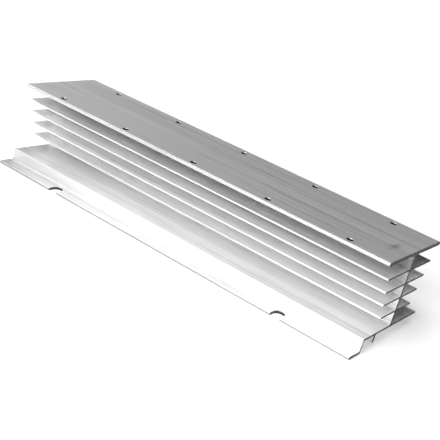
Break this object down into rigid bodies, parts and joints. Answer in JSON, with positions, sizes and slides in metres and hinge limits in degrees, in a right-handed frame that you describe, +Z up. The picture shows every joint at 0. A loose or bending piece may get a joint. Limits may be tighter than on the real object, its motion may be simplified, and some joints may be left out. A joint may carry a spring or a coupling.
{
  "type": "extruded heat sink",
  "caption": "Extruded aluminium heat sink with a drilled device plate, a central web with fins on both sides, and a stepped base with a slotted mounting flange.",
  "frame": {"origin": "in the plane of the flange's mounting face, under the middle of the overall length and width", "axes": "+X along the extrusion, +Z up from the mounting face to the device face, with the slotted flange on the -Y side"},
  "size_m": [0.303, 0.0844, 0.06],
  "materials": {
    "mill_aluminium": "bare mill finish from the extrusion die, with fine lengthwise streaks and sawn ends"
  },
  "bodies": {
    "root": {"heat_sink": "mill_aluminium"}
  },
  "joints": []
}
